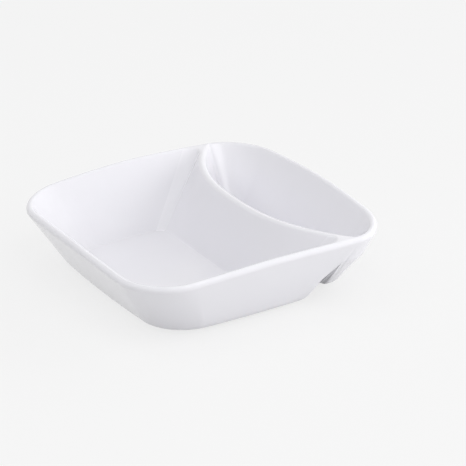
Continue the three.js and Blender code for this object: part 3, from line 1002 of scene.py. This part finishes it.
class RuleTree(ShapeTree):
    """The tree that puts every wall point in its place."""

    EDGES = ("Lip", "Crest", "Groove Roof")
    FEET = ("Floor Foot", "Base Foot", "Groove Foot")

    def __init__(self) -> None:
        """Builds the tree: the rule's places, the weld, the creases and the material."""
        super().__init__("moulded_walls", (*self.EDGES, *self.FEET, "Weld", "Crease"))
        graph, given = self.graph, self.given
        links = {"Geometry": given["Geometry"], "Selection": self._carried("ruled") > 0.5}
        links["Position"] = self._place()
        placed = graph.result("GeometryNodeSetPosition", None, links)
        links = {"Geometry": placed, "Distance": given["Weld"]}
        welded = graph.result("GeometryNodeMergeByDistance", None, links)
        smooth = graph.result("GeometryNodeSetShadeSmooth", {"domain": "FACE"}, {"Geometry": welded})
        angle = graph.result("GeometryNodeInputMeshEdgeAngle", key="Unsigned Angle")
        links = {"Geometry": smooth, "Selection": angle > given["Crease"], "Shade Smooth": False}
        self.end_on(graph.result("GeometryNodeSetShadeSmooth", {"domain": "EDGE"}, links))

    def _carried(self, name: str, kind: str = "FLOAT") -> Value:
        """Returns a number, or another kind of value, that the mesh's points carry."""
        attribute = "GeometryNodeInputNamedAttribute"
        return self.graph.result(attribute, {"data_type": kind}, {"Name": name}, "Attribute")

    def _parts(self, name: str) -> list[Value]:
        """Returns the three numbers of a vector that the mesh's points carry."""
        vector = self._carried(name, "FLOAT_VECTOR")
        node = self.graph.node("ShaderNodeSeparateXYZ", None, {0: vector})
        return [self.graph.output(node, i) for i in range(3)]

    def _vector(self, parts: Sequence[Value]) -> Value:
        """Returns the vector of three numbers."""
        return self.graph.result("ShaderNodeCombineXYZ", None, dict(enumerate(parts)))

    def _radius(self, shares: str, sizes: Sequence[str]) -> Value:
        """Returns a radius from its shares and the three sizes they are shares of."""
        three = self._vector([self.given[size] for size in sizes])
        links = {0: self._carried(shares, "FLOAT_VECTOR"), 1: three}
        return self.graph.result("ShaderNodeVectorMath", {"operation": "DOT_PRODUCT"}, links, "Value")

    def _place(self) -> Value:
        """Returns where the wall rule puts a point."""
        ridge_x, ridge_y, top = self._parts("ridge")
        way_x, way_y, _ = self._parts("inward")
        foot_x, foot_y, bottom = self._parts("foot")
        reach_x, reach_y = foot_x - ridge_x, foot_y - ridge_y
        run = reach_x * way_x + reach_y * way_y
        aside = reach_y * way_x - reach_x * way_y
        edge, foot = self._radius("edges", self.EDGES), self._radius("feet", self.FEET)
        section = Section(run, top, edge, bottom, foot, self._carried("turn"))
        inward, height, share = section.at(self._carried("station"))
        lean = aside * share
        x = ridge_x + way_x * inward - way_y * lean
        y = ridge_y + way_y * inward + way_x * lean
        return self._vector([x, y, height])


def new_object(name: str, mesh: bpy.types.Mesh) -> bpy.types.Object:
    """Returns a new object in the scene with the given mesh, at the origin."""
    obj = bpy.data.objects.new(name, mesh)
    bpy.context.scene.collection.objects.link(obj)
    return obj


@dataclass(frozen=True)
class MouldedGloss:
    """Glossy white moulded ware: a cool white with a faint cloud, a fine skin and duller parts.

    Attributes:
        white: Its colour.
        cloud: The colour that it drifts to.
        roughness: How rough it is where it is neither dull nor polished.
        drift: How far the cloud changes that.
        duller: How much rougher it is underneath and in a dull corner.
        keener: How much smoother it is on a polished edge.
        corner_spread: How soon a dull corner reaches its full dullness.
        bend: How strongly it bends light.
        cloud_grain: The cloud's scale, detail and roughness.
        skin_grain: The skin's scale, detail and roughness.
        skin_depth: How deep the skin is, in metres.
    """

    white: Triple = (0.82, 0.815, 0.85)
    cloud: Triple = (0.795, 0.79, 0.83)
    roughness: float = 0.13
    drift: float = 0.05
    duller: float = 0.35
    keener: float = 0.03
    corner_spread: float = 16.0
    bend: float = 1.52
    cloud_grain: Triple = (14.0, 4.0, 0.55)
    skin_grain: Triple = (420.0, 2.0, 0.5)
    skin_depth: float = 0.00004

    def material(self, name: str) -> bpy.types.Material:
        """Makes the finish.

        Args:
            name: The material's name.

        Returns:
            The material.
        """
        made = bpy.data.materials.new(name)
        graph = fresh_graph(made)
        here = graph.result("ShaderNodeTexCoord", key="Object")
        cloud, skin = (
            graph.result("ShaderNodeTexNoise", None, {"Vector": here, **self._grain(sizes)})
            for sizes in (self.cloud_grain, self.skin_grain)
        )
        links = {SHARE: cloud, FIRST: (*self.white, 1.0), SECOND: (*self.cloud, 1.0)}
        colour = graph.result("ShaderNodeMix", {"data_type": "RGBA"}, links, MIXED)
        dull, polish = (
            graph.result("ShaderNodeAttribute", {"attribute_name": look}, key="Fac") for look in Skin.LOOKS
        )
        drift = self.drift * (cloud - 0.5)
        rough = self.roughness + drift + self.duller * dull - self.keener * polish
        links = {"Height": skin, "Distance": self.skin_depth, "Strength": 1.0}
        bump = graph.result("ShaderNodeBump", None, links)
        links = {"Base Color": colour, "Roughness": rough, "IOR": self.bend, "Normal": bump}
        shader = graph.result("ShaderNodeBsdfPrincipled", None, links)
        graph.node("ShaderNodeOutputMaterial", None, {"Surface": shader})
        return made

    @staticmethod
    def _grain(sizes: Triple) -> dict[str, float]:
        """Returns a noise's scale, detail and roughness by their sockets."""
        return dict(zip(("Scale", "Detail", "Roughness"), sizes))


@dataclass
class DishShell:
    """The moulding above its feet: rim, divider, both wells and the groove, in one closed skin."""

    plan: DishPlan = field(default_factory=DishPlan)
    finish: MouldedGloss = field(default_factory=MouldedGloss)
    weld: float = 0.01
    crease: float = math.radians(32.0)
    nodes: tuple[str, ...] = ("rim", "divider", "main_basin", "side_basin")

    def build(self) -> bpy.types.Object:
        """Returns the shell as a plain mesh object."""
        skin = Skin()
        for well in (self.plan.main_well, self.plan.side_well):
            self._add_inside(skin, well)
            self._add_outside(skin, well)
        for side in (1.0, -1.0):
            self._add_web(skin, side)
        obj = new_object("dish_shell", skin.mesh("dish_shell"))
        rounds = self.plan.rounds
        names, radii = (*RuleTree.EDGES, *RuleTree.FEET), (*rounds.edges, *rounds.feet)
        inputs: dict[str, Any] = {name: radius * MM for name, radius in zip(names, radii)}
        inputs["Weld"] = self.weld * MM
        inputs["Crease"] = self.crease
        inputs["Material"] = self.finish.material("moulded_white")
        RuleTree().apply(obj, inputs)
        for name in (*Skin.RULE, *Skin.NUMBERS):
            obj.data.attributes.remove(obj.data.attributes[name])
        return obj

    def dress(self, obj: bpy.types.Object) -> None:
        """Puts the shell in place of the regions of the frame that it stands for."""
        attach(obj, "root")
        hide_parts(*self.nodes)

    def _stations(self, stops: Sequence[float], counts: Sequence[int]) -> list[float]:
        """Returns evenly spaced stations between the given stops."""
        made = [stops[0]]
        for start, end, count in zip(stops, stops[1:], counts):
            made += [mix(start, end, (i + 1) / count) for i in range(count)]
        return made

    def _add_inside(self, skin: Skin, well: Well) -> None:
        """Adds a well's inside walls and floor."""
        detail = self.plan.detail
        counts = (detail.inner_edge, detail.inner_wall, detail.foot)
        stations = self._stations((RIDGE, FALL, BEND, FLAT), counts)
        columns = []
        for i in range(len(well.ridge)):
            wall = self.plan.inner_wall(well, i)
            dull = well.dull * held(self.finish.corner_spread * wall.edges[0] * wall.edges[1])
            columns.append([skin.wall_point(wall, station, dull) for station in stations])
        for i, here in enumerate(columns):
            skin.strip(columns[(i + 1) % len(columns)], here)
        ring = [column[-1] for column in columns]
        floor_z = self.plan.floors.floor_z
        self._add_cap(skin, ring, [column.spot for column in well.floor], floor_z, Face.INSIDE)

    def _add_outside(self, skin: Skin, well: Well) -> None:
        """Adds a well's outside walls, its half of the groove and its base."""
        made: dict[tuple[int, bool], list[int]] = {}

        def column(i: int, as_crest: bool) -> list[int]:
            """Returns a column's points, seen from its rim half or its crest half."""
            key = (i, as_crest and well.at_junction(well.outside[i]))
            if key not in made:
                marks = self._outer_marks(well, i, as_crest)
                made[key] = [skin.wall_point(wall, station) for wall, station in marks]
            return made[key]

        ring = []
        for i, start in enumerate(well.outside):
            j = (i + 1) % len(well.outside)
            as_crest = well.crest_share(start) + well.crest_share(well.outside[j]) > 1.0
            skin.strip(column(i, as_crest), column(j, as_crest))
            ring.append(column(i, as_crest)[-1])
        base_z = self.plan.floors.foot_height
        self._add_cap(skin, ring, [spot.spot for spot in well.base], base_z, Face.OUTSIDE)

    def _outer_marks(self, well: Well, i: int, as_crest: bool) -> list[tuple[Wall, float]]:
        """Lists the slices and stations of one outside column, from top to bottom.

        Args:
            well: The well that the column belongs to.
            i: Which column of its outside loop.
            as_crest: Whether it is seen from the groove where it turns into it.

        Returns:
            A slice and a station for each point.
        """
        plan, detail = self.plan, self.plan.detail
        column, foot = well.outside[i], well.base[i].spot
        share, side = well.crest_share(column), math.copysign(1.0, column.spot.imag)
        over = detail.outer_edge + detail.upper_wall
        groove_counts = (over, detail.lower_wall, detail.foot)
        groove_stations = self._stations((RIDGE, FALL, BEND, FLAT), groove_counts)
        if well.at_junction(column):
            footing = Footing.GROOVE if share > 0.5 else Footing.BASE
            tail = plan.tail(plan.mouth(side), foot, footing)
            if as_crest:
                return [(tail, station) for station in groove_stations]
            return self._joined(plan.run_out(side), tail)
        if share == 1.0:
            half, end = plan.mouth(1.0).imag, plan.crest.end.imag
            wall = plan.groove_wall(column.spot.imag * half / end, foot)
            return [(wall, station) for station in groove_stations]
        beside = abs(complex(column.spot.real, abs(column.spot.imag)) - plan.crest.end)
        near = 1.0 - eased(beside / plan.groove.ease)
        if well is plan.side_well and near > 0.0:
            upper = plan.beside_run_out(column, foot, near)
            return self._joined(upper, plan.tail(plan.split_spot(upper), foot, Footing.BASE))
        wall = plan.outer_wall(column, foot)
        stops = (RIDGE, FALL, plan.split(wall), BEND, FLAT)
        counts = (detail.outer_edge, detail.upper_wall, detail.lower_wall, detail.foot)
        return [(wall, station) for station in self._stations(stops, counts)]

    def _joined(self, upper: Wall, lower: Wall) -> list[tuple[Wall, float]]:
        """Lists an outside column that changes slices at the groove's level."""
        plan, detail = self.plan, self.plan.detail
        stops = (RIDGE, FALL, plan.split(upper))
        above = self._stations(stops, (detail.outer_edge, detail.upper_wall))
        below = self._stations((FALL, BEND, FLAT), (detail.lower_wall, detail.foot))
        return [(upper, station) for station in above] + [(lower, station) for station in below[1:]]

    def _add_cap(
        self, skin: Skin, ring: Sequence[int], spots: Sequence[complex], height: float, face: Face
    ) -> None:
        """Closes a floor or a base with rings that shrink to its middle.

        Args:
            skin: The mesh in the making.
            ring: The points round the cap.
            spots: Their places.
            height: The level of the cap.
            face: Whether it is a floor or a base.
        """
        middle = sum(spots) / len(spots)
        rings = [list(ring)]
        for share in self.plan.detail.inset:
            inset = [skin.loose_point(mix(middle, spot, share), height, face.value, 0.0) for spot in spots]
            rings.append(inset)
        rings.append([skin.loose_point(middle, height, face.value, 0.0)] * len(spots))
        columns = list(zip(*rings))
        for i, here in enumerate(columns):
            there = columns[(i + 1) % len(columns)]
            first, second = (there, here) if face is Face.INSIDE else (here, there)
            skin.strip(first[:-1], second[:-1])
            skin.faces.append((first[-2], first[-1], second[-2]))

    def _web_outline(self) -> list[Vector]:
        """Returns the outline of the flat web at the far end of the divider."""
        plan, main, side = self.plan, self.plan.main_well, self.plan.side_well

        def on_rim(columns: Sequence[Column]) -> list[Vector]:
            """Lifts columns to the rim."""
            return [Vector((c.spot.real, c.spot.imag, plan.rim.top(c.spot))) for c in columns]

        def on_well(well: Well, columns: Sequence[Column]) -> list[Vector]:
            """Lifts columns to their well's ridge, in reverse order."""
            tops = [(c.spot.real, c.spot.imag, plan.inner_top(well, c)) for c in columns]
            return [Vector(top) for top in reversed(tops)]

        return [
            *on_rim([c for c in main.outside if c.edge == Well.FAR and c.lead]),
            *on_rim([c for c in main.ridge if c.edge == Well.FAR and c.corner is None][:1]),
            *on_well(main, [c for c in main.ridge if c.corner == Well.FAR]),
            *on_well(side, [c for c in side.ridge if c.lead and c.spot.imag > 0]),
            *on_well(side, [c for c in side.ridge if c.corner == side.crest_edge]),
            *on_rim([c for c in side.outside if c.edge == Well.FAR and c.lead][1:]),
        ]

    def _add_web(self, skin: Skin, side: float) -> None:
        """Adds the flat web where the divider meets the rim, on the far or the near side."""
        outline, detail = self._web_outline(), self.plan.detail
        count = len(outline)
        flat = [point.to_2d() for point in outline]
        step = detail.web
        low = [min(p[k] for p in flat) for k in range(2)]
        high = [max(p[k] for p in flat) for k in range(2)]
        grid = [
            Vector((low[0] + i * step, low[1] + j * step))
            for i in range(int((high[0] - low[0]) / step) + 1)
            for j in range(int((high[1] - low[1]) / step) + 1)
        ]
        spots = flat + [p for p in grid if self._inside(p, flat, detail.web_margin * step)]
        edges = [(i, (i + 1) % count) for i in range(count)]
        places, _, faces, *_ = delaunay_2d_cdt(spots, edges, [], 1, detail.web_merge)
        heights = [outline[i].z if i < count else outline[0].z for i in range(len(places))]
        beside: list[set[int]] = [set() for _ in places]
        for corners in faces:
            for i in corners:
                beside[i].update(corners)
        for _ in range(detail.web_rounds):
            for i in range(count, len(places)):
                heights[i] = sum(heights[j] for j in beside[i]) / len(beside[i])
        points = [
            skin.loose_point(complex(p.x, side * p.y), z, 0.0, 1.0) for p, z in zip(places, heights)
        ]
        for corners in faces:
            ordered = corners if side > 0 else corners[::-1]
            skin.faces.append(tuple(points[i] for i in ordered))

    @staticmethod
    def _inside(point: Vector, outline: Sequence[Vector], margin: float) -> bool:
        """Tells whether a point lies inside an outline by at least a margin."""
        crossed = False
        for i, a in enumerate(outline):
            b = outline[i - 1]
            span = b - a
            share = held((point - a).dot(span) / max(span.length_squared, TOUCHING**2))
            if (a + span * share - point).length < margin:
                return False
            if (a.y > point.y) != (b.y > point.y):
                crossed ^= point.x < a.x + (point.y - a.y) / (b.y - a.y) * (b.x - a.x)
        return crossed


class RingTree(ShapeTree):
    """The tree that sweeps a foot's section round its path."""

    ROUND_STEPS = 4

    def __init__(self) -> None:
        """Builds the tree."""
        super().__init__("foot_ring", ("Width", "Height", "Round"))
        graph, given = self.graph, self.given
        path = graph.result("GeometryNodeMeshToCurve", None, {"Mesh": given["Geometry"]})
        upright = graph.result("GeometryNodeSetCurveNormal", {"mode": "Z_UP"}, {"Curve": path})
        links = {"Width": given["Width"], "Height": given["Height"]}
        oblong = graph.result("GeometryNodeCurvePrimitiveQuadrilateral", None, links)
        links = {"Curve": oblong, "Count": self.ROUND_STEPS, "Radius": given["Round"], "Limit Radius": True}
        section = graph.result("GeometryNodeFilletCurve", {"mode": "POLY"}, links)
        links = {"Curve": upright, "Profile Curve": section}
        swept = graph.result("GeometryNodeCurveToMesh", None, links)
        self.end_on(graph.result("GeometryNodeSetShadeSmooth", {"domain": "FACE"}, {"Geometry": swept}))


@dataclass
class FootRing:
    """A low ring under one base, which the dish stands on."""

    name: str
    node: str
    base: Sequence[Column]
    inset: float
    finish: MouldedGloss = field(default_factory=MouldedGloss)
    width: float = 4.0
    height: float = 1.5
    sunk: float = 0.4
    round: float = 0.5

    def _path(self) -> list[complex]:
        """Returns the middle line of the ring, drawn in from the base's outline."""
        spots = [column.spot for column in self.base]
        across, along = [p.real for p in spots], [p.imag for p in spots]
        middle = complex(min(across) + max(across), min(along) + max(along)) / 2
        half = complex(max(across) - min(across), max(along) - min(along)) / 2
        by = self.inset + self.width / 2
        made = []
        for spot in spots:
            way = spot - middle
            made.append(middle + complex(way.real * (1 - by / half.real), way.imag * (1 - by / half.imag)))
        return made

    def build(self, tree: RingTree) -> bpy.types.Object:
        """Sweeps the ring.

        Args:
            tree: The tree that sweeps a foot's section.

        Returns:
            The ring as a plain mesh object.
        """
        path = self._path()
        tall = self.height + self.sunk
        mesh = bpy.data.meshes.new(self.name)
        points = [(p.real * MM, p.imag * MM, tall / 2 * MM) for p in path]
        mesh.from_pydata(points, [(i, (i + 1) % len(points)) for i in range(len(points))], [])
        obj = new_object(self.name, mesh)
        inputs: dict[str, Any] = {"Width": self.width * MM, "Height": tall * MM, "Round": self.round * MM}
        inputs["Material"] = self.finish.material(f"{self.name}_white")
        tree.apply(obj, inputs)
        return obj

    def dress(self, obj: bpy.types.Object) -> None:
        """Puts the ring in place of the frame's own ring."""
        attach(obj, "root")
        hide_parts(self.node)


class Lamp(Enum):
    """The studio's softboxes: place, width, height, power, and whether the gloss mirrors it."""

    KEY = ((2.09, -2.09, 0.52), 3.2, 3.2, 46.0, False)
    FRONT = ((0.0, -2.46, 1.72), 3.2, 3.2, 20.0, False)
    RIGHT = ((2.95, 0.0, 0.52), 3.2, 3.2, 44.0, False)
    BACK = ((-1.22, 0.70, 2.65), 3.2, 3.2, 26.0, False)
    TOP = ((0.09, -1.03, 1.94), 0.95, 0.9, 5.5, True)


@dataclass
class Studio:
    """A pale floor that runs out of sight, soft lamps and an even surround.

    Attributes:
        reach: Radius of the floor, in metres.
        floor_sides: Sides of its round outline.
        pale: How bright the surround and the floor look.
        ambient: How bright the surround lights the dish.
        shown: How much of the floor's look comes from the light on it.
        floor_white: How white the floor is to the light that it throws back.
        aim_height: Height that the lamps are turned to, in metres.
    """

    reach: float = 14.0
    floor_sides: int = 64
    pale: float = 0.913
    ambient: float = 0.5
    shown: float = 0.15
    floor_white: float = 0.8
    aim_height: float = 0.04

    def _pale_rays(self, graph: Graph) -> Value:
        """Returns 1 on rays that show the surround itself, and 0 on rays that light the dish."""
        path = graph.node("ShaderNodeLightPath")
        seen = Rule.MAXIMUM(graph.output(path, "Is Camera Ray"), graph.output(path, "Is Glossy Ray"))
        return Rule.MAXIMUM(seen, graph.output(path, "Is Transmission Ray"))

    @staticmethod
    def _grey(level: float) -> tuple[float, ...]:
        """Returns a grey of the given level."""
        return (level, level, level, 1.0)

    def build(self) -> None:
        """Makes the floor, the surround and the lamps."""
        self._floor()
        self._surround()
        for lamp in Lamp:
            self._lamp(lamp)

    def _floor(self) -> None:
        """Makes the floor, whose shadow stays soft and faint."""
        mesh = bpy.data.meshes.new("studio_floor")
        count = self.floor_sides
        rim = [cmath.rect(self.reach, math.tau * i / count) for i in range(count)]
        mesh.from_pydata([(p.real, p.imag, 0.0) for p in rim], [], [tuple(range(count))])
        obj = new_object("studio_floor", mesh)
        made = bpy.data.materials.new("pale_floor")
        graph = fresh_graph(made)
        lit, faint = (
            graph.result("ShaderNodeBsdfDiffuse", None, {"Color": self._grey(level)})
            for level in (self.floor_white, self.shown)
        )
        links = {"Color": self._grey(self.pale - self.shown), "Strength": 1.0}
        even = graph.result("ShaderNodeEmission", None, links)
        both = graph.result("ShaderNodeAddShader", None, {0: faint, 1: even})
        shader = graph.result("ShaderNodeMixShader", None, {0: self._pale_rays(graph), 1: lit, 2: both})
        graph.node("ShaderNodeOutputMaterial", None, {"Surface": shader})
        mesh.materials.append(made)

    def _surround(self) -> None:
        """Makes the even surround, pale where it is seen."""
        world = bpy.data.worlds.new("pale_surround")
        graph = fresh_graph(world)
        strength = mix(self.ambient, self.pale, self._pale_rays(graph))
        links = {"Color": self._grey(1.0), "Strength": strength}
        light = graph.result("ShaderNodeBackground", None, links)
        graph.node("ShaderNodeOutputWorld", None, {"Surface": light})
        bpy.context.scene.world = world

    def _lamp(self, lamp: Lamp) -> None:
        """Hangs one softbox, turned towards the dish."""
        place, wide, tall, power, mirrored = lamp.value
        light = bpy.data.lights.new(f"{lamp.name.lower()}_softbox", "AREA")
        light.shape = "RECTANGLE"
        light.size = wide
        light.size_y = tall
        light.energy = power
        obj = bpy.data.objects.new(light.name, light)
        obj.location = place
        obj.visible_camera = False
        obj.visible_glossy = mirrored
        aim = Vector((0.0, 0.0, self.aim_height)) - Vector(place)
        obj.rotation_euler = aim.to_track_quat("-Z", "Y").to_euler()
        bpy.context.scene.collection.objects.link(obj)


@dataclass
class Viewpoint:
    """The camera, aimed at a point over the dish's middle.

    Attributes:
        focus: Focal length in pixels of the picture.
        picture: The picture's width in pixels.
        sensor: The width that stands for it in the camera, in millimetres.
        tilt: How far it looks down, in degrees.
        swing: How far it looks round from the divider's line, in degrees.
        roll: How far it is turned about its own line, in degrees.
        distance: How far back it stands, in millimetres.
        slide: How far it stands to its own right, in millimetres.
        rise: How far it stands towards its own top, in millimetres.
        level: Height of the point that it is aimed over, in millimetres.
        sight: How far it sees, in metres.
    """

    focus: float = 3035.676
    picture: float = 466.0
    sensor: float = 36.0
    tilt: float = 23.048
    swing: float = 26.192
    roll: float = -4.586
    distance: float = 3105.7
    slide: float = 36.392
    rise: float = -26.265
    level: float = 74.0
    sight: float = 60.0

    def build(self) -> bpy.types.Object:
        """Places the camera and makes it the scene's own."""
        tilt, swing, roll = (math.radians(a) for a in (self.tilt, self.swing, self.roll))
        ahead = Vector((
            math.sin(swing) * math.cos(tilt), math.cos(swing) * math.cos(tilt), -math.sin(tilt)
        ))
        right = Vector((math.cos(swing), -math.sin(swing), 0.0))
        up = right.cross(ahead)
        across = math.cos(roll) * right + math.sin(roll) * up
        upright = math.cos(roll) * up - math.sin(roll) * right
        place = Vector((0.0, 0.0, self.level)) + across * self.slide + upright * self.rise
        place = (place - ahead * self.distance) * MM
        data = bpy.data.cameras.new("photo_view")
        data.sensor_width = self.sensor
        data.lens = self.focus * self.sensor / self.picture
        data.clip_end = self.sight
        camera = bpy.data.objects.new("photo_view", data)
        turn = Matrix((across, upright, -ahead)).transposed().to_4x4()
        camera.matrix_world = Matrix.Translation(place) @ turn
        bpy.context.scene.collection.objects.link(camera)
        bpy.context.scene.camera = camera
        return camera


def report(obj: bpy.types.Object) -> None:
    """Logs a piece's name and how many faces it has."""
    LOG.info("%s: %d faces", obj.name, len(obj.data.polygons))


def main() -> None:
    """Builds the dish, its feet, the studio and the camera."""
    logging.basicConfig(level=logging.INFO, format="%(name)s: %(message)s")
    bpy.context.scene.view_settings.view_transform = "Standard"
    Viewpoint().build()
    shell = DishShell()
    piece = shell.build()
    shell.dress(piece)
    report(piece)
    tree = RingTree()
    plan = shell.plan
    rings = (
        FootRing("main_foot", "main_foot_ring", plan.main_well.base, plan.main.foot_inset),
        FootRing("side_foot", "side_foot_ring", plan.side_well.base, plan.side.foot_inset),
    )
    for ring in rings:
        piece = ring.build(tree)
        ring.dress(piece)
        report(piece)
    Studio().build()
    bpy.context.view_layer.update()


if __name__ == "__main__":
    main()
